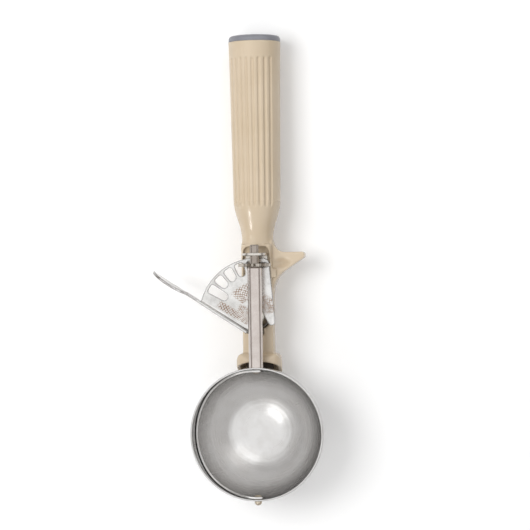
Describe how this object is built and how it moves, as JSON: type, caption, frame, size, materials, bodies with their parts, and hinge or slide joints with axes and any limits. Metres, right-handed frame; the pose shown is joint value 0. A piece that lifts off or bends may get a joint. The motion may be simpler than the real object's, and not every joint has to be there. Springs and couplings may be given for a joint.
{
  "type": "lever ice cream scoop",
  "caption": "Ice cream scoop with a moulded grip, round steel bowl, curved scraper blade and a thumb lever that turns it through a windowed sector plate and toothed pinion.",
  "frame": {"origin": "under the middle of the whole scoop, level with the lowest point of the bowl", "axes": "+Y up the handle from the bowl to the end cap, +Z out of the bowl's mouth, +X to the side of the finger hook"},
  "size_m": [0.0858, 0.2354, 0.0413],
  "materials": {
    "handle_plastic": "satin moulded plastic, fine mould grain",
    "cap_plastic": "satin moulded plastic",
    "bowl_steel": "satin stainless steel, spun inside",
    "strip_steel": "rolled stainless strip",
    "tube_steel": "polished stainless tube and rod",
    "rivet_steel": "turned and peened stainless steel",
    "washer_steel": "stamped stainless steel",
    "lever_steel": "brushed stainless sheet",
    "gear_steel": "milled steel, darkened",
    "blade_steel": "spring stainless strip",
    "spring_steel": "drawn spring wire"
  },
  "bodies": {
    "root": {"handle": "handle_plastic", "end_cap": "cap_plastic", "bowl": "bowl_steel", "bowl_shank": "strip_steel", "shaft_sleeve": "tube_steel", "bearing_bracket": "strip_steel", "bracket_rivets": "rivet_steel", "pivot_rivet": "rivet_steel", "pivot_washer": "washer_steel", "back_washer": "washer_steel", "tip_pin": "rivet_steel", "tip_washer": "washer_steel", "return_spring": "spring_steel"},
    "lever": {"sector_lever": "lever_steel", "lever_bush": "washer_steel"},
    "ejector": {"drive_shaft": "tube_steel", "pinion": "gear_steel", "scraper_blade": "blade_steel", "blade_washer": "washer_steel"}
  },
  "joints": [
    {"name": "lever_pivot", "type": "hinge", "parent": "root", "child": "lever", "pos_m": [0.00947, -0.0234, 0.0263], "axis": [0, 0, -1], "range_deg": [0, 50], "stiffness_Nm_per_rad": 0.12, "springref_deg": -17.19, "deforming": ["return_spring"]},
    {"name": "ejector_turn", "type": "hinge", "parent": "root", "child": "ejector", "pos_m": [0.00947, -0.0234, 0.0334], "axis": [0, -1, 0], "range_deg": [0, 168.75]}
  ],
  "couplings": [
    {"joint": "ejector_turn", "follows": "lever_pivot", "ratio": 3.375}
  ]
}
